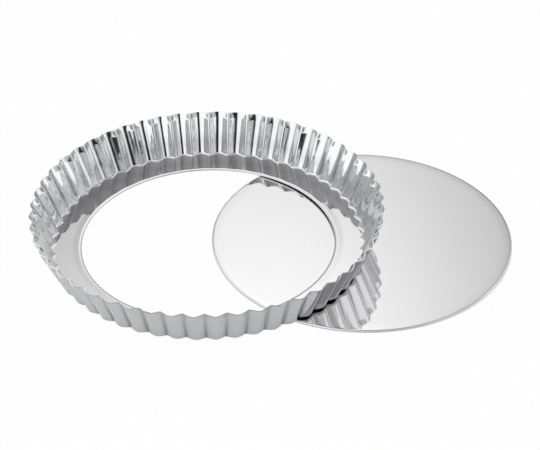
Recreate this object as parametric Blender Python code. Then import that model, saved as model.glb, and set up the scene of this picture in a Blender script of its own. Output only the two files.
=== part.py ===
"""Loose-bottom fluted tart pan: a fluted sheet-metal ring and its flat loose base, in metres, +Z up.

The base lies flat on the surface. The ring stands half over it: one side of its foot touches the surface,
the hem of the other side rests on the edge of the base, so the ring leans by about a degree.
"""
import math

import bmesh
import bpy
from mathutils import Vector

# Ring, driving dimensions
FLUTE_COUNT = 52              # outward flutes round the wall
RING_SHEET = 0.0006           # thickness of the ring's sheet
FOOT_RADIUS = 0.1098          # from the axis to the inward ridges, where the wall leaves the ledge
WALL_FLARE = 0.0104           # how much further out the ridges are where the lip starts
RING_HEIGHT = 0.0312          # underside of the hem to the lip's points over the ridges
FOOT_FLUTE_DEPTH = 0.0026     # ridge to crown at the foot of the wall
RIM_FLUTE_DEPTH = 0.0038      # ridge to crown where the lip starts
CROWN_ROUNDING = 0.60         # share of half a flute over which its crown is rounded; its flanks are straight
RIDGE_ROUNDING = 0.10         # the same for the ridges
LIP_HEIGHT = 0.0044           # band below the top edge that flares out
LIP_RIDGE_FLARE = 0.0030      # how far the lip carries the ridges outwards
RIM_RADIUS = 0.1256           # from the axis to the crowns at the top edge
CROWN_DROP = 0.0008           # how much lower the top edge is over the crowns than over the ridges
FOOT_BEND = 0.0012            # from the corner of ledge and wall to the ends of its bend
LEDGE_WIDTH = 0.0193          # ledge from the ridges inwards to the round hole
RING_HEM_WIDTH = 0.0020       # edge of the hole, folded back under the ledge
RING_HEM_GAP = 0.0002         # between the ledge and its folded edge
HEM_SHOULDER = 0.0060         # from the hole's edge to where the ledge has come down off its folded edge
HEM_DROP = 0.00045            # how far it comes down there
LEDGE_SLOPE = 0.0188          # how much it falls from there to the wall, per length
FLUTE_TURN = math.radians(-2.4)   # turn of the first ridge from +X

# Loose base, driving dimensions
BASE_SHEET = 0.0008           # thickness of the base's sheet
BASE_HEM_WIDTH = 0.0050       # rim of the base, folded back underneath
BASE_HEM_GAP = 0.0008         # between the panel and its folded rim
BASE_DROP_IN = 0.0022         # clearance between the base's rim and the ridges when it sits on the ledge

# How the two lie
CENTRE_SPACING = 0.1102       # ring axis to base axis, seen from above
CONTACT_GAP = 0.0004          # between the ring's hem and the base it rests on

# Fineness
FLUTE_SEGMENTS = 6            # facets across one flute
BASE_SEGMENTS = 144           # facets round the base
PANEL_MIDDLE = 0.036          # radius of the ring of corners that divides the base's panel

# Worked out from the above
HOLE_RADIUS = FOOT_RADIUS - LEDGE_WIDTH
BASE_RADIUS = FOOT_RADIUS - BASE_DROP_IN
BASE_HEIGHT = 2 * BASE_SHEET + BASE_HEM_GAP
CROWN_FOOT = FOOT_RADIUS + FOOT_FLUTE_DEPTH


def clear_scene():
    for thing in list(bpy.data.objects):
        bpy.data.objects.remove(thing, do_unlink=True)


def metal(name, colour, roughness):
    """A polished metal finish."""
    material = bpy.data.materials.new(name)
    material.use_nodes = True
    shader = material.node_tree.nodes["Principled BSDF"]
    shader.inputs["Base Color"].default_value = (*colour, 1.0)
    shader.inputs["Roughness"].default_value = roughness
    shader.inputs["Metallic"].default_value = 1.0
    return material


def new_object(name, mesh, material):
    mesh.materials.append(material)
    thing = bpy.data.objects.new(name, mesh)
    bpy.context.scene.collection.objects.link(thing)
    return thing


def thicken(thing, thickness):
    """Turns a sheet's middle surface into a closed solid of even thickness."""
    solidify = thing.modifiers.new("sheet", "SOLIDIFY")
    solidify.thickness = thickness
    solidify.offset = 0.0
    solidify.use_even_offset = True
    solidify.use_quality_normals = True


def rounded(distance, rounding):
    """A straight rise from 0 to 1 whose start is rounded over a share of its length."""
    return (math.hypot(distance, rounding) - rounding) / (math.hypot(1.0, rounding) - rounding)


def flute_wave(position):
    """Share of the flute's depth at a position across it: 0 at the ridges, 1 at the crown."""
    from_ridge = 1.0 - abs(2.0 * position - 1.0)
    return 1.0 - rounded(1.0 - rounded(from_ridge, RIDGE_ROUNDING), CROWN_ROUNDING)


def ring_section(foot_radius, lip_start, rim):
    """A cut through the ring's sheet from its folded edge to its top edge: radius and height of corners."""
    half = RING_SHEET / 2
    fold = HOLE_RADIUS + half
    ledge_height = RING_SHEET + RING_HEM_GAP + half
    shoulder = Vector((HOLE_RADIUS + HEM_SHOULDER, ledge_height - HEM_DROP))
    foot = shoulder + Vector((1.0, -LEDGE_SLOPE)) * (foot_radius - shoulder.x)
    return [
        Vector((HOLE_RADIUS + RING_HEM_WIDTH, half)),
        Vector((fold, half)),
        Vector((fold, ledge_height)),
        shoulder,
        foot + (shoulder - foot).normalized() * FOOT_BEND,
        foot + (lip_start - foot).normalized() * FOOT_BEND,
        lip_start,
        rim,
    ]


def ring_sections():
    """The cut through a ridge and the cut through a crown, corner by corner."""
    lip_height = RING_HEIGHT - LIP_HEIGHT
    ridge_lip = Vector((FOOT_RADIUS + WALL_FLARE, lip_height))
    ridge_rim = Vector((ridge_lip.x + LIP_RIDGE_FLARE, RING_HEIGHT))
    crown_lip = Vector((ridge_lip.x + RIM_FLUTE_DEPTH, lip_height))
    crown_rim = Vector((RIM_RADIUS, RING_HEIGHT - CROWN_DROP))
    ridge = ring_section(FOOT_RADIUS, ridge_lip, ridge_rim)
    crown = ring_section(CROWN_FOOT, crown_lip, crown_rim)
    return zip(ridge, crown)


def build_ring(material):
    """One stamped sheet: hemmed ledge, fluted flaring wall and turned-out lip, about its own axis."""
    sheet = bmesh.new()
    steps = FLUTE_COUNT * FLUTE_SEGMENTS
    loops = []
    for ridge, crown in ring_sections():
        loop = []
        for step in range(steps):
            angle = 2 * math.pi * step / steps
            radius, height = ridge.lerp(crown, flute_wave(step % FLUTE_SEGMENTS / FLUTE_SEGMENTS))
            loop.append(sheet.verts.new((radius * math.cos(angle), radius * math.sin(angle), height)))
        loops.append(loop)
    for lower, upper in zip(loops, loops[1:]):
        for step in range(steps):
            after = (step + 1) % steps
            sheet.faces.new((lower[step], lower[after], upper[after], upper[step]))
    bmesh.ops.recalc_face_normals(sheet, faces=sheet.faces)
    mesh = bpy.data.meshes.new("fluted_ring")
    sheet.to_mesh(mesh)
    sheet.free()
    mesh.shade_smooth()
    mesh.set_sharp_from_angle(angle=math.radians(30))
    ring = new_object("fluted_ring", mesh, material)
    thicken(ring, RING_SHEET)
    return ring


def build_base(material):
    """A flat panel whose rim is folded back underneath, spun about its own axis."""
    half = BASE_SHEET / 2
    fold = BASE_RADIUS - half
    top = BASE_HEIGHT - half
    panel = [(0.0, top), (PANEL_MIDDLE, top), (fold, top)]
    profile = panel + [(fold, half), (BASE_RADIUS - BASE_HEM_WIDTH, half)]
    section = bmesh.new()
    points = [section.verts.new((radius, 0.0, height)) for radius, height in profile]
    for inner, outer in zip(points, points[1:]):
        section.edges.new((inner, outer))
    mesh = bpy.data.meshes.new("loose_base")
    section.to_mesh(mesh)
    section.free()
    base = new_object("loose_base", mesh, material)
    spin = base.modifiers.new("spin", "SCREW")
    spin.axis = "Z"
    spin.angle = 2 * math.pi
    spin.steps = BASE_SEGMENTS
    spin.render_steps = BASE_SEGMENTS
    spin.use_merge_vertices = True
    spin.merge_threshold = 0.00005
    spin.use_smooth_shade = True
    thicken(base, BASE_SHEET)
    return base


def ring_place():
    """Lean and height of the ring: from its foot on the surface to where its hem crosses the base's rim."""
    crossing = (HOLE_RADIUS**2 - BASE_RADIUS**2 + CENTRE_SPACING**2) / (2 * CENTRE_SPACING)
    ledge_fall = HEM_DROP + LEDGE_SLOPE * (CROWN_FOOT - HOLE_RADIUS - HEM_SHOULDER)
    foot_clearance = RING_SHEET + RING_HEM_GAP - ledge_fall
    rise = BASE_HEIGHT + CONTACT_GAP
    tilt = math.atan2(rise + foot_clearance, crossing + CROWN_FOOT)
    return tilt, rise - crossing * math.sin(tilt)


def main():
    clear_scene()
    ring = build_ring(metal("polished_steel_ring", (0.56, 0.56, 0.57), 0.12))
    base = build_base(metal("mirror_steel_base", (0.62, 0.62, 0.62), 0.06))
    tilt, ring_z = ring_place()
    crown_height = RING_HEIGHT - CROWN_DROP
    left_reach = (RIM_RADIUS + RING_SHEET / 2) * math.cos(tilt) + crown_height * math.sin(tilt)
    ring_x = (left_reach - CENTRE_SPACING - BASE_RADIUS) / 2
    ring.location = (ring_x, 0.0, ring_z)
    ring.rotation_mode = "ZYX"
    ring.rotation_euler = (0.0, -tilt, FLUTE_TURN)
    base.location = (ring_x + CENTRE_SPACING, 0.0, 0.0)


main()
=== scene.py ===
"""Looks of the loose-bottom fluted tart pan: fine sheet-metal meshes, finishes, studio and camera.

Lengths are metres in the frame's own axes: +Z up, +X from the ring's axis towards the base's axis.
"""
import math

import bmesh
import bpy
from mathutils import Matrix, Quaternion, Vector


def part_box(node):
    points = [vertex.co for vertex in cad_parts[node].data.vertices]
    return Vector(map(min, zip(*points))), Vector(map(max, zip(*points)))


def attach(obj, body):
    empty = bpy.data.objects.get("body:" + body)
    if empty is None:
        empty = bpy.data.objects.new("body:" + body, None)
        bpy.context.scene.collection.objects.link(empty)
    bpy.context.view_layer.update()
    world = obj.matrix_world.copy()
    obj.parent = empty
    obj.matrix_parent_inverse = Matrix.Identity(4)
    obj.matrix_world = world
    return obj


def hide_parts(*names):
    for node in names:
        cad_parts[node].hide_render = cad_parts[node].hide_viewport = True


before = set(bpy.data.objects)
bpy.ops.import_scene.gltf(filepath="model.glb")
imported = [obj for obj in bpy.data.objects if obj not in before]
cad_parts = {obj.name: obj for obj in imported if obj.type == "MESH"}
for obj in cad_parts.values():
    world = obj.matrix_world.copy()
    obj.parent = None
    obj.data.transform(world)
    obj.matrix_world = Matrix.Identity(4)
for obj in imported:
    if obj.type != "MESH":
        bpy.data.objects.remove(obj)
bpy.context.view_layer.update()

# Loose base, from the frame
BASE_LOW, BASE_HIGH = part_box("loose_base")
BASE_RADIUS = (BASE_HIGH.x - BASE_LOW.x) / 2
BASE_HEIGHT = BASE_HIGH.z - BASE_LOW.z
BASE_CENTRE = Vector(((BASE_LOW.x + BASE_HIGH.x) / 2, (BASE_LOW.y + BASE_HIGH.y) / 2, BASE_LOW.z))
BASE_SHEET = 0.0008           # thickness of the base's sheet
BASE_HEM_WIDTH = 0.0050       # rim of the base, folded back underneath
BASE_EDGE_WIDTH = 0.0070      # the panel falls off gently over this much of its rim
BASE_EDGE_FALL = 0.00008      # and by this much

# Fluted ring: the same sheet as in the frame, with its bends drawn in full
FLUTE_COUNT = 52
FLUTE_TURN = math.radians(-2.4)   # turn of the first ridge from +X
RING_SHEET = 0.0006           # thickness of the ring's sheet
FOOT_RADIUS = 0.1098          # ridges, where the wall leaves the ledge
WALL_FLARE = 0.0104           # how much further out the ridges are where the lip starts
RING_HEIGHT = 0.0312          # underside of the hem to the lip's points over the ridges
FOOT_FLUTE_DEPTH = 0.0026     # ridge to crown at the foot of the wall
RIM_FLUTE_DEPTH = 0.0038      # ridge to crown where the lip starts
CROWN_ROUNDING = 0.60         # share of half a flute over which its crown is rounded
RIDGE_ROUNDING = 0.10         # the same for the ridges; the flanks between them are straight
LIP_ROUNDING = 0.15           # the same for the ridges at the top edge, where they die out
LIP_HEIGHT = 0.0044           # band below the top edge that flares out
LIP_RIDGE_FLARE = 0.0030      # how far the lip carries the ridges outwards
RIM_RADIUS = 0.1256           # crowns at the top edge
CROWN_DROP = 0.0008           # how much lower the top edge is over the crowns than over the ridges
LEDGE_WIDTH = 0.0193          # ledge from the ridges inwards to the round hole
RING_HEM_WIDTH = 0.0020       # edge of the hole, folded back under the ledge
NOSE_GAP = 0.00006            # between the ledge and its folded edge, at the nose of the fold
HEM_ROLL = 0.0016             # the hole's edge is rolled down over this much
HEM_ROLL_ANGLE = 10.0         # to this slope, in degrees, where its nose starts
HEM_SHOULDER = 0.0060         # from the hole's edge to where the ledge has come down off it
HEM_DROP = 0.00017            # how far it comes down there
LEDGE_SLOPE = 0.0188          # how much it falls from there to the wall, per length
SHOULDER_BEND = 0.070         # bend radius of that shoulder
RIDGE_FOOT_BEND = 0.0021      # bend radius between ledge and wall, at the ridges
CROWN_FOOT_BEND = 0.0023      # the same at the crowns
LIP_BEND = 0.0015             # bend radius where the lip leaves the wall
HOLE_RADIUS = FOOT_RADIUS - LEDGE_WIDTH
CROWN_FOOT = FOOT_RADIUS + FOOT_FLUTE_DEPTH

# How the ring lies, as in the frame
CENTRE_SPACING = 0.1102       # ring axis to base axis, seen from above
CONTACT_GAP = 0.0004          # between the ring's hem and the base it rests on
RING_HEM_GAP = 0.0002         # between the ledge and its folded edge
FOOT_FALL = 0.00075           # from the ledge at the hole's edge down to the ledge at the wall

# Fineness of the meshes
BASE_SEGMENTS = 360           # steps round the base
BASE_NOSE_STEPS, BASE_EDGE_STEPS, BASE_PANEL_STEPS = 14, 7, 12
FLUTE_STEPS = 20              # steps across one flute
STEP_GATHERING = 0.7          # how much they gather at ridges and crowns, from 0 for even steps
HEM_NOSE_STEPS, HEM_ROLL_STEPS, SHOULDER_STEPS, FOOT_STEPS, LIP_STEPS = 6, 4, 4, 6, 4
LEDGE_STEPS, WALL_STEPS = 2, 3
FLAT_MARGIN = 0.0002          # from a bend to the loop that keeps the flat beside it flat
SHARP_ANGLE = math.radians(50)    # cut edges of the sheets shade sharp, bends smooth

# Metals
RING_COLOUR = 0.735, 0.73, 0.735
RING_WALL_COLOUR = 0.712, 0.721, 0.738
RING_ROUGHNESS, RING_WAVINESS = 0.05, 0.000006
BASE_COLOUR = 0.76, 0.75, 0.755
BASE_ROUGHNESS, BASE_WAVINESS = 0.04, 0.000002
MOTTLE_SCALE, MOTTLE_DETAIL = 60.0, 4.0   # patches of slightly different colour and gloss, per metre
MOTTLE_TINT = 0.97            # how dark the darkest are, as a share of the colour
MOTTLE_GLOSS = 0.2            # by what share their roughness varies
WAVE_SCALE, WAVE_DETAIL = 150.0, 1.0      # faint waves of the sheet, per metre

# Tone, painted shade and draw marks on the ring: heights in the ring's own axes, places across in
# flutes
WALL_START, WALL_FULL = 0.0018, 0.0050    # heights where the ledge's colour turns into the wall's, and the draw marks come in
FOLD_SHADE_DEPTH = 0.55           # how much darker the painted shade makes the sheet where a mark has a strength of 1
SHADE_LINE_WIDTH = 0.065            # half width of the painted shade line along a fold
INNER_CROWN_SHADE = 0.15             # strength of that painted shade line inside, along the crowns
INNER_FOOT_SHADE = 0.42             # strength of the painted shade inside, along the foot of the wall
INNER_FOOT_SHADE_END = 0.006, 0.018             # between these heights it ends
LIP_SHADE = 1.5                   # strength of the small painted shade marks inside the lip, beside the ridges
LIP_SHADE_PLACE, LIP_SHADE_WIDTH = 0.10, 0.035    # their distance from the ridge and half width
LIP_SHADE_START, LIP_SHADE_END = (0.0268, 0.0284), (0.0298, 0.0312)   # between these heights they come and go
OUTER_FOOT, OUTER_RIM = 1.10, 0.30        # strength of the painted crease shade outside, along the ridges
OUTER_SPREAD = 1.35           # how much wider that line is at the foot than at the rim
FOOT_LINE = 0.70              # strength of the painted shade line outside, along the foot
FOOT_LINE_END = 0.0003, 0.0026            # between these heights it ends
OUTWARD = 0.2                 # a face is outside where its normal points outwards by more than this
STREAK_SCALE, STREAK_DETAIL = 260.0, 1.0  # upright draw marks on the wall, per metre across
STREAK_STRETCH = 0.20         # how much slower they change upwards
STREAK_DEPTH = 0.00006

# Camera, fitted to the photograph
CAMERA_FIELD = math.radians(15.0)
CAMERA_ELEVATION = math.radians(35.70)
CAMERA_AZIMUTH = math.radians(3.239)
CAMERA_ROLL = math.radians(0.231)
CAMERA_DISTANCE = 1.489
CAMERA_TARGET = Vector((-0.00032, 0.02148, 0.0))

# Floor
FLOOR_REACH = 4.0
FLOOR_DROP = 0.0001           # how far the floor lies below the pan's foot
FLOOR_COLOUR = 0.96, 0.96, 0.96
FLOOR_GLOW = (("Is Camera Ray", 0.97), ("Is Glossy Ray", 0.16), ("Is Transmission Ray", 0.16))

# Studio light: levels by bearing and elevation in degrees; bearing 0 is the camera's side, + is right
LEFT_WALL, RIGHT_WALL, BACK_WALL = 1.45, 0.92, 1.25
SIDE_TURN = 70.0                          # left turns into right between this bearing on either side
BACK_START, BACK_FULL = 75.0, 110.0       # the sides turn into the back between these bearings
LOW_WALL = 0.68                           # all round, below WALL_FOOT
WALL_FOOT, WALL_TOP, WALL_SOFT = 20.0, 49.0, 5.0
LEFT_CEILING, RIGHT_CEILING = 0.52, 0.34
CEILING_TURN = 0.45                       # its left turns into its right between this X on either side
FAR_START, FAR_FULL = 140.0, 162.0        # bearings where the light straight behind the pan comes in
FAR_LOW = 0.08                            # its level near the floor
FAR_FOOT, FAR_TOP = 16.0, 43.0            # it rises between these elevations
FAR_LEVEL, FAR_TURN = 0.50, 0.55          # by this much straight behind, and by less rightwards
FAR_PANEL = 0.86                          # with a soft panel's worth on top
FAR_BEARING, FAR_SPREAD = 3.2, 7.0        # round this bearing right of straight behind
FAR_HIGH = 1.30                           # level above that
FAR_HIGH_FOOT, FAR_HIGH_FULL = 45.0, 51.0
FAR_END, FAR_END_SOFT = 66.0, 4.0         # where it gives way to the ceiling
PANELS = (      # bearing from, to and softness; elevation from, to and softness; level
    (-32.0, 62.0, 12.0, 19.0, 42.0, 4.0, 0.78),     # the darker room on the camera's side
    (20.0, 120.0, 14.0, 40.0, 62.0, 4.0, 0.64),     # right, high up
    (-62.0, -14.0, 8.0, 42.0, 57.0, 4.0, 1.45),     # left, high up
    (-84.0, -2.0, 6.0, -30.0, 19.0, 3.0, 1.35),     # left, low
    (40.0, 98.0, 6.0, -30.0, 10.0, 3.0, 1.30),      # right, low
    (2.0, 40.0, 5.0, -30.0, 8.5, 3.0, 0.66),        # between them, near the floor
    (-17.0, 5.0, 4.0, -30.0, 8.0, 3.0, 0.04),       # the unlit gap where the camera stands
    (3.0, 38.0, 4.0, 8.0, 19.0, 2.5, 0.03),         # the unlit gap above and right of it
)


def mix(low, high, share):
    return low + (high - low) * share


def smooth(low, high, value):
    """A smooth rise from 0 at one value to 1 at another."""
    share = min(1.0, max(0.0, (value - low) / (high - low)))
    return share * share * (3 - 2 * share)


def bell(distance, width):
    return math.exp(-((distance / width) ** 2))


def rounded(distance, rounding):
    """A straight rise from 0 to 1 whose start is rounded over a share of its length."""
    return (math.hypot(distance, rounding) - rounding) / (math.hypot(1.0, rounding) - rounding)


def flute_wave(position, ridge_rounding):
    """Share of the flute's depth at a position across it: 0 at the ridges, 1 at the crown."""
    from_ridge = 1.0 - abs(2.0 * position - 1.0)
    return 1.0 - rounded(1.0 - rounded(from_ridge, ridge_rounding), CROWN_ROUNDING)


def ring_matrix():
    """Place of the ring: leaning from its foot on the floor onto the edge of the base."""
    crossing = (HOLE_RADIUS**2 - BASE_RADIUS**2 + CENTRE_SPACING**2) / (2 * CENTRE_SPACING)
    foot_clearance = RING_SHEET + RING_HEM_GAP - FOOT_FALL
    rise = BASE_HEIGHT + CONTACT_GAP
    tilt = math.atan2(rise + foot_clearance, crossing + CROWN_FOOT)
    height = rise - crossing * math.sin(tilt)
    place = Matrix.Translation((BASE_CENTRE.x - CENTRE_SPACING, BASE_CENTRE.y, height))
    return place @ Matrix.Rotation(-tilt, 4, "Y") @ Matrix.Rotation(FLUTE_TURN, 4, "Z")


def arc(radius, start, end, steps):
    """Offsets along an arc from its centre, angles from +r towards +z in degrees."""
    for step in range(steps + 1):
        angle = math.radians(mix(start, end, step / steps))
        yield Vector((radius * math.cos(angle), radius * math.sin(angle)))


def bend(before, corner, after, radius, steps):
    """Points along the round bend of a sheet that turns at a corner of its section."""
    back = (before - corner).normalized()
    ahead = (after - corner).normalized()
    reach = max(radius / math.tan(back.angle(ahead) / 2), FLAT_MARGIN)
    start, end = corner + back * reach, corner + ahead * reach
    points = []
    for step in range(steps + 1):
        share = step / steps
        points.append(start.lerp(corner, share).lerp(corner.lerp(end, share), share))
    return points


def flat(start, end, steps):
    """Points between the ends of a straight stretch; the first and last keep its shading straight."""
    margin = FLAT_MARGIN / (end - start).length
    shares = [margin] + [step / steps for step in range(1, steps)] + [1 - margin]
    return [start.lerp(end, share) for share in shares]


def ring_section(foot_radius, foot_bend, lip_start, rim):
    """The ring's middle surface in a cut through its axis, folded edge to rim: radius and height."""
    half = RING_SHEET / 2
    fold_radius = (RING_SHEET + NOSE_GAP) / 2
    fold_centre = Vector((HOLE_RADIUS + half + fold_radius, half + fold_radius))
    points = [Vector((HOLE_RADIUS + RING_HEM_WIDTH, half))]
    for offset in arc(fold_radius, 270, 90 + HEM_ROLL_ANGLE, HEM_NOSE_STEPS):
        points.append(fold_centre + offset)
    nose = points[-1]
    rise = HEM_ROLL * math.tan(math.radians(HEM_ROLL_ANGLE))
    for step in range(1, HEM_ROLL_STEPS + 1):
        share = step / HEM_ROLL_STEPS
        points.append(nose + Vector((HEM_ROLL * share, rise * (share - share**2 / 2))))
    crest = points[-1]
    shoulder = Vector((HOLE_RADIUS + HEM_SHOULDER, crest.y - HEM_DROP))
    foot = shoulder + Vector((1.0, -LEDGE_SLOPE)) * (foot_radius - shoulder.x)
    shoulder_points = bend(crest, shoulder, foot, SHOULDER_BEND, SHOULDER_STEPS)
    foot_points = bend(shoulder, foot, lip_start, foot_bend, FOOT_STEPS)
    lip_points = bend(foot, lip_start, rim, LIP_BEND, LIP_STEPS)
    points += flat(crest, shoulder_points[0], LEDGE_STEPS) + shoulder_points
    points += flat(shoulder_points[-1], foot_points[0], LEDGE_STEPS) + foot_points
    points += flat(foot_points[-1], lip_points[0], WALL_STEPS) + lip_points
    points += flat(lip_points[-1], rim, WALL_STEPS) + [rim]
    return points


def ring_sections():
    """Sections through a ridge and a crown, and how round the ridges are at each of their points."""
    lip_height = RING_HEIGHT - LIP_HEIGHT
    ridge_lip = Vector((FOOT_RADIUS + WALL_FLARE, lip_height))
    ridge_rim = Vector((ridge_lip.x + LIP_RIDGE_FLARE, RING_HEIGHT))
    crown_lip = Vector((ridge_lip.x + RIM_FLUTE_DEPTH, lip_height))
    crown_rim = Vector((RIM_RADIUS, RING_HEIGHT - CROWN_DROP))
    ridge = ring_section(FOOT_RADIUS, RIDGE_FOOT_BEND, ridge_lip, ridge_rim)
    crown = ring_section(CROWN_FOOT, CROWN_FOOT_BEND, crown_lip, crown_rim)
    for ridge_point, crown_point in zip(ridge, crown):
        above_lip = max(0.0, (ridge_point.y - lip_height) / LIP_HEIGHT)
        yield ridge_point, crown_point, mix(RIDGE_ROUNDING, LIP_ROUNDING, min(1.0, above_lip))


def round_point(radius, angle, height):
    return radius * math.cos(angle), radius * math.sin(angle), height


def thicken(thing, thickness):
    """Turns a sheet's middle surface into a closed solid of even thickness."""
    solidify = thing.modifiers.new("sheet", "SOLIDIFY")
    solidify.thickness = thickness
    solidify.offset = 0.0
    solidify.use_even_offset = True
    solidify.use_quality_normals = True
    bpy.context.view_layer.update()
    thickened = thing.evaluated_get(bpy.context.evaluated_depsgraph_get())
    solid = bpy.data.meshes.new_from_object(thickened)
    solid.set_sharp_from_angle(angle=SHARP_ANGLE)
    sheet = thing.data
    thing.modifiers.clear()
    thing.data = solid
    bpy.data.meshes.remove(sheet)
    solid.name = thing.name


def build_sheet(name, loops, capped, place, thickness, material):
    """A solid sheet whose middle surface runs through closed loops of points, put in its place."""
    sheet = bmesh.new()
    rows = [[sheet.verts.new(point) for point in loop] for loop in loops]
    for lower, upper in zip(rows, rows[1:]):
        count = len(lower)
        for step in range(count):
            after = (step + 1) % count
            sheet.faces.new((lower[step], lower[after], upper[after], upper[step]))
    if capped:
        sheet.faces.new(rows[-1])
    bmesh.ops.recalc_face_normals(sheet, faces=sheet.faces)
    mesh = bpy.data.meshes.new(name)
    sheet.to_mesh(mesh)
    sheet.free()
    mesh.transform(place)
    mesh.materials.append(material)
    mesh.shade_smooth()
    thing = bpy.data.objects.new(name, mesh)
    bpy.context.scene.collection.objects.link(thing)
    thicken(thing, thickness)
    return thing


def build_ring(material):
    """The fluted ring as one sheet; mesh steps gather at ridges and crowns."""
    steps = [step / FLUTE_STEPS for step in range(FLUTE_STEPS)]
    turn = 4 * math.pi
    positions = [step - STEP_GATHERING * math.sin(turn * step) / turn for step in steps]
    loops = []
    for ridge, crown, rounding in ring_sections():
        loop = []
        for flute in range(FLUTE_COUNT):
            for position in positions:
                angle = 2 * math.pi * (flute + position) / FLUTE_COUNT
                radius, height = ridge.lerp(crown, flute_wave(position, rounding))
                loop.append(round_point(radius, angle, height))
        loops.append(loop)
    ring = build_sheet("fluted_ring_skin", loops, False, ring_matrix(), RING_SHEET, material)
    mark_wall_and_shade(ring.data)
    return ring


def inner_shade(position, height):
    """How much painted shade the sheet gets inside: along foot and crowns, and beside the ridges at
    the lip.
    """
    crown = INNER_CROWN_SHADE * bell(position - 0.5, SHADE_LINE_WIDTH)
    foot = INNER_FOOT_SHADE * (1 - smooth(*INNER_FOOT_SHADE_END, height))
    lip_shade = LIP_SHADE * bell(min(position, 1 - position) - LIP_SHADE_PLACE, LIP_SHADE_WIDTH)
    lip_shade *= smooth(*LIP_SHADE_START, height) * (1 - smooth(*LIP_SHADE_END, height))
    return smooth(WALL_START, WALL_FULL, height) * max(crown, foot, lip_shade)


def outer_shade(position, height):
    """How much painted shade the sheet gets outside: along the foot and the ridges."""
    share = max(0.0, height / RING_HEIGHT)
    width = SHADE_LINE_WIDTH * mix(OUTER_SPREAD, 1.0, share)
    ridge = mix(OUTER_FOOT, OUTER_RIM, share) * bell(min(position, 1 - position), width)
    return max(ridge, FOOT_LINE * (1 - smooth(*FOOT_LINE_END, height)))


def mark_wall_and_shade(mesh):
    """Marks for the colour: how far each point is up the wall, and how much painted shade the sheet
    gets there.
    """
    wall = mesh.attributes.new("wall", "FLOAT", "POINT")
    fold = mesh.attributes.new("fold", "FLOAT", "POINT")
    to_ring = ring_matrix().inverted()
    turn = to_ring.to_3x3()
    for vertex in mesh.vertices:
        place = to_ring @ vertex.co
        position = math.atan2(place.y, place.x) / (2 * math.pi) * FLUTE_COUNT % 1.0
        outside = (turn @ vertex.normal).xy.dot(place.xy.normalized()) > OUTWARD
        mark = outer_shade if outside else inner_shade
        wall.data[vertex.index].value = smooth(WALL_START, WALL_FULL, place.z)
        fold.data[vertex.index].value = mark(position, place.z)


def build_base(material):
    """The flat panel, falling off slightly to its rim, which is folded under in a full round nose."""
    half = BASE_SHEET / 2
    top = BASE_HEIGHT - half
    fold_radius = (BASE_HEIGHT - BASE_EDGE_FALL - BASE_SHEET) / 2
    fold_centre = BASE_RADIUS - half - fold_radius
    edge_slope = 2 * BASE_EDGE_FALL / BASE_EDGE_WIDTH
    panel_radius = fold_centre - BASE_EDGE_WIDTH
    profile = [(BASE_RADIUS - BASE_HEM_WIDTH, half)]
    for offset in arc(fold_radius, -90, 90 - math.degrees(edge_slope), BASE_NOSE_STEPS):
        profile.append((fold_centre + offset.x, half + fold_radius + offset.y))
    for step in range(1, BASE_EDGE_STEPS + 1):
        share = step / BASE_EDGE_STEPS
        fall = BASE_EDGE_FALL * (1 - share) ** 2
        profile.append((fold_centre - BASE_EDGE_WIDTH * share, top - fall))
    for step in range(1, BASE_PANEL_STEPS):
        profile.append((mix(panel_radius, 0.0, step / BASE_PANEL_STEPS), top))
    angles = [2 * math.pi * step / BASE_SEGMENTS for step in range(BASE_SEGMENTS)]
    loops = [[round_point(radius, angle, height) for angle in angles] for radius, height in profile]
    place = Matrix.Translation(BASE_CENTRE)
    return build_sheet("loose_base_skin", loops, True, place, BASE_SHEET, material)


def feed(tree, socket, value):
    """Sets a socket to a value, or links it to another node's output."""
    if isinstance(value, bpy.types.NodeSocket):
        tree.links.new(value, socket)
    else:
        socket.default_value = value


def noise(tree, place, scale, detail):
    node = tree.nodes.new("ShaderNodeTexNoise")
    feed(tree, node.inputs["Vector"], place)
    feed(tree, node.inputs["Scale"], scale)
    feed(tree, node.inputs["Detail"], detail)
    return node.outputs["Fac"]


def blend(tree, factor, first, second):
    """A colour that goes from the first to the second, and on beyond it."""
    node = tree.nodes.new("ShaderNodeMix")
    node.data_type = "RGBA"
    node.clamp_factor = False
    feed(tree, node.inputs["Factor"], factor)
    feed(tree, node.inputs["A"], first)
    feed(tree, node.inputs["B"], second)
    return node.outputs["Result"]


def emboss(tree, height, depth):
    """A relief of some depth, on top of what the finish has so far."""
    normal = tree.nodes["Principled BSDF"].inputs["Normal"]
    node = tree.nodes.new("ShaderNodeBump")
    feed(tree, node.inputs["Strength"], 1.0)
    feed(tree, node.inputs["Distance"], depth)
    feed(tree, node.inputs["Height"], height)
    if normal.is_linked:
        feed(tree, node.inputs["Normal"], normal.links[0].from_socket)
    feed(tree, normal, node.outputs["Normal"])


def darker(colour, share):
    return (*[channel * share for channel in colour], 1.0)


def metal(name, colour, roughness, waviness):
    """Bright rolled sheet: slightly mottled in colour and gloss, with the faint waves of rolling."""
    material = bpy.data.materials.new(name)
    material.use_nodes = True
    tree = material.node_tree
    shader = tree.nodes["Principled BSDF"]
    shader.inputs["Metallic"].default_value = 1.0
    place = tree.nodes.new("ShaderNodeTexCoord").outputs["Object"]
    mottle = noise(tree, place, MOTTLE_SCALE, MOTTLE_DETAIL)
    tint = blend(tree, mottle, darker(colour, MOTTLE_TINT), (*colour, 1.0))
    feed(tree, shader.inputs["Base Color"], tint)
    gloss = tree.nodes.new("ShaderNodeMapRange")
    feed(tree, gloss.inputs["Value"], mottle)
    feed(tree, gloss.inputs["To Min"], roughness * (1 - MOTTLE_GLOSS))
    feed(tree, gloss.inputs["To Max"], roughness * (1 + MOTTLE_GLOSS))
    feed(tree, shader.inputs["Roughness"], gloss.outputs["Result"])
    emboss(tree, noise(tree, place, WAVE_SCALE, WAVE_DETAIL), waviness)
    return material


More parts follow.
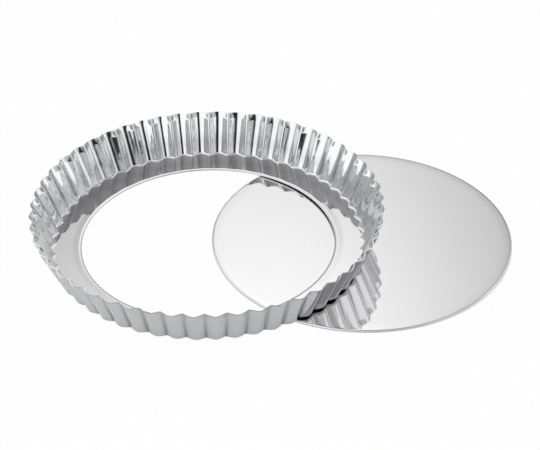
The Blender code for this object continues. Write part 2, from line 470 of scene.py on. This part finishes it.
def tone_shade_and_draw_marks(material, wall_colour):
    """Colour and relief on the ring: a slightly darker, cooler wall, painted shade along the folds and
    upright draw marks.
    """
    tree = material.node_tree
    base_colour = tree.nodes["Principled BSDF"].inputs["Base Color"]
    marks = {}
    for name in ("wall", "fold"):
        attribute = tree.nodes.new("ShaderNodeAttribute")
        attribute.attribute_name = name
        marks[name] = attribute.outputs["Fac"]
    # the wall a slightly darker, cooler tone than the ledge
    colour = blend(tree, marks["wall"], base_colour.links[0].from_socket, (*wall_colour, 1.0))
    # painted shade: the wall's colour darkened along the folds, along the foot and inside the lip
    colour = blend(tree, marks["fold"], colour, darker(wall_colour, 1 - FOLD_SHADE_DEPTH))
    feed(tree, base_colour, colour)
    stretch = tree.nodes.new("ShaderNodeMapping")
    feed(tree, stretch.inputs["Vector"], tree.nodes.new("ShaderNodeTexCoord").outputs["Object"])
    feed(tree, stretch.inputs["Scale"], (1.0, 1.0, STREAK_STRETCH))
    height = tree.nodes.new("ShaderNodeMath")
    height.operation = "MULTIPLY"
    feed(tree, height.inputs[0], noise(tree, stretch.outputs["Vector"], STREAK_SCALE, STREAK_DETAIL))
    feed(tree, height.inputs[1], marks["wall"])
    emboss(tree, height.outputs["Value"], STREAK_DEPTH)


def build_floor():
    """A plain white floor: the camera sees it near white, and it keeps the pan's soft shadow."""
    mesh = bpy.data.meshes.new("floor")
    corners = [(-FLOOR_REACH, -FLOOR_REACH, 0), (FLOOR_REACH, -FLOOR_REACH, 0),
               (FLOOR_REACH, FLOOR_REACH, 0), (-FLOOR_REACH, FLOOR_REACH, 0)]
    mesh.from_pydata(corners, [], [(0, 1, 2, 3)])
    material = bpy.data.materials.new("white_floor")
    material.use_nodes = True
    tree = material.node_tree
    tree.nodes.clear()
    output = tree.nodes.new("ShaderNodeOutputMaterial")
    matt = tree.nodes.new("ShaderNodeBsdfDiffuse")
    feed(tree, matt.inputs["Color"], (*FLOOR_COLOUR, 1.0))
    glow = tree.nodes.new("ShaderNodeEmission")
    path = tree.nodes.new("ShaderNodeLightPath")
    glow_share = 0.0
    for ray, weight in FLOOR_GLOW:
        term = tree.nodes.new("ShaderNodeMath")
        term.operation = "MULTIPLY_ADD"
        for socket, value in zip(term.inputs, (path.outputs[ray], weight, glow_share)):
            feed(tree, socket, value)
        glow_share = term.outputs["Value"]
    mixed = tree.nodes.new("ShaderNodeMixShader")
    shades = matt.outputs["BSDF"], glow.outputs["Emission"]
    for socket, value in zip(mixed.inputs, (glow_share, *shades)):
        feed(tree, socket, value)
    feed(tree, output.inputs["Surface"], mixed.outputs["Shader"])
    mesh.materials.append(material)
    floor = bpy.data.objects.new("floor", mesh)
    floor.location.z = -FLOOR_DROP
    bpy.context.scene.collection.objects.link(floor)


class Studio:
    """Soft walls of light round the pan, built up as one level by bearing and elevation."""

    def __init__(self, tree):
        self.tree = tree
        split = tree.nodes.new("ShaderNodeSeparateXYZ")
        feed(tree, split.inputs["Vector"], tree.nodes.new("ShaderNodeTexCoord").outputs["Generated"])
        self.across = split.outputs["X"]
        turn = self.calc("ARCTAN2", self.across, self.calc("MULTIPLY", split.outputs["Y"], -1.0))
        self.side = self.calc("SINE", turn)
        self.bearing = self.calc("MULTIPLY", turn, math.degrees(1))
        rise = self.calc("ARCSINE", split.outputs["Z"])
        self.elevation = self.calc("MULTIPLY", rise, math.degrees(1))

    def calc(self, operation, *values):
        node = self.tree.nodes.new("ShaderNodeMath")
        node.operation = operation
        for socket, value in zip(node.inputs, values):
            feed(self.tree, socket, value)
        return node.outputs["Value"]

    def ramp(self, value, low, high, start=0.0, end=1.0):
        """A smooth rise or fall from one level to another."""
        node = self.tree.nodes.new("ShaderNodeMapRange")
        node.interpolation_type = "SMOOTHSTEP"
        names = ("Value", "From Min", "From Max", "To Min", "To Max")
        for name, number in zip(names, (value, low, high, start, end)):
            feed(self.tree, node.inputs[name], number)
        return node.outputs["Result"]

    def window(self, value, low, high, soft):
        """1 between two bounds and 0 outside them, with soft edges."""
        rise = self.ramp(value, low - soft, low + soft)
        fall = self.ramp(value, high - soft, high + soft, 1.0, 0.0)
        return self.calc("MULTIPLY", rise, fall)

    def lay(self, level, panel, mask):
        """Lays a panel's level over the level so far."""
        node = self.tree.nodes.new("ShaderNodeMix")
        for name, value in (("Factor", mask), ("A", level), ("B", panel)):
            feed(self.tree, node.inputs[name], value)
        return node.outputs["Result"]


def far_light(studio):
    """Level straight behind the pan: rising from the floor, with a soft panel and a bright top."""
    calc = studio.calc
    offset = calc("SUBTRACT", calc("MULTIPLY", studio.side, math.degrees(1)), FAR_BEARING)
    share = calc("DIVIDE", offset, FAR_SPREAD)
    panel = calc("EXPONENT", calc("MULTIPLY", calc("MULTIPLY", share, share), -0.5))
    level = calc("MULTIPLY_ADD", studio.side, -FAR_TURN, FAR_LEVEL)
    level = calc("MULTIPLY_ADD", panel, FAR_PANEL, level)
    level = calc("MULTIPLY", studio.ramp(studio.elevation, FAR_FOOT, FAR_TOP), level)
    level = calc("ADD", level, FAR_LOW)
    return studio.lay(level, FAR_HIGH, studio.ramp(studio.elevation, FAR_HIGH_FOOT, FAR_HIGH_FULL))


def build_world():
    """The studio's light: walls, ceiling, the light behind the pan, then the panels."""
    world = bpy.data.worlds.new("studio")
    world.use_nodes = True
    tree = world.node_tree
    studio = Studio(tree)
    bearing, elevation = studio.bearing, studio.elevation
    aside = studio.calc("ABSOLUTE", bearing)
    wall = studio.ramp(bearing, -SIDE_TURN, SIDE_TURN, LEFT_WALL, RIGHT_WALL)
    wall = studio.lay(wall, BACK_WALL, studio.ramp(aside, BACK_START, BACK_FULL))
    above_foot = studio.ramp(elevation, WALL_FOOT - WALL_SOFT, WALL_FOOT + WALL_SOFT)
    above_top = studio.ramp(elevation, WALL_TOP - WALL_SOFT, WALL_TOP + WALL_SOFT)
    ceiling = studio.ramp(studio.across, -CEILING_TURN, CEILING_TURN, LEFT_CEILING, RIGHT_CEILING)
    level = studio.lay(studio.lay(LOW_WALL, wall, above_foot), ceiling, above_top)
    below_end = studio.ramp(elevation, FAR_END - FAR_END_SOFT, FAR_END + FAR_END_SOFT, 1.0, 0.0)
    behind = studio.calc("MULTIPLY", studio.ramp(aside, FAR_START, FAR_FULL), below_end)
    level = studio.lay(level, far_light(studio), behind)
    for left, right, side_soft, low, high, soft, panel in PANELS:
        across = studio.window(bearing, left, right, side_soft)
        upright = studio.window(elevation, low, high, soft)
        level = studio.lay(level, panel, studio.calc("MULTIPLY", across, upright))
    background = tree.nodes["Background"]
    feed(tree, background.inputs["Strength"], level)
    feed(tree, background.inputs["Color"], (1.0, 1.0, 1.0, 1.0))
    bpy.context.scene.world = world


def build_camera():
    heading = Vector((
        math.sin(CAMERA_AZIMUTH) * math.cos(CAMERA_ELEVATION),
        math.cos(CAMERA_AZIMUTH) * math.cos(CAMERA_ELEVATION),
        -math.sin(CAMERA_ELEVATION),
    ))
    data = bpy.data.cameras.new("camera")
    data.sensor_fit = "HORIZONTAL"
    data.lens_unit = "FOV"
    data.angle = CAMERA_FIELD
    camera = bpy.data.objects.new("camera", data)
    camera.location = CAMERA_TARGET - heading * CAMERA_DISTANCE
    camera.rotation_mode = "QUATERNION"
    roll = Quaternion((0.0, 0.0, 1.0), CAMERA_ROLL)
    camera.rotation_quaternion = heading.to_track_quat("-Z", "Y") @ roll
    bpy.context.scene.collection.objects.link(camera)
    bpy.context.scene.camera = camera


def dress(piece, node, body):
    """Lets a piece ride on its body in place of the solid it hides."""
    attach(piece, body)
    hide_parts(node)


ring_metal = metal("ring_metal", RING_COLOUR, RING_ROUGHNESS, RING_WAVINESS)
tone_shade_and_draw_marks(ring_metal, RING_WALL_COLOUR)
base_metal = metal("base_metal", BASE_COLOUR, BASE_ROUGHNESS, BASE_WAVINESS)
ring = build_ring(ring_metal)
base = build_base(base_metal)
dress(ring, "fluted_ring", "ring")
dress(base, "loose_base", "base")
build_floor()
build_world()
build_camera()
bpy.context.scene.view_settings.view_transform = "Standard"
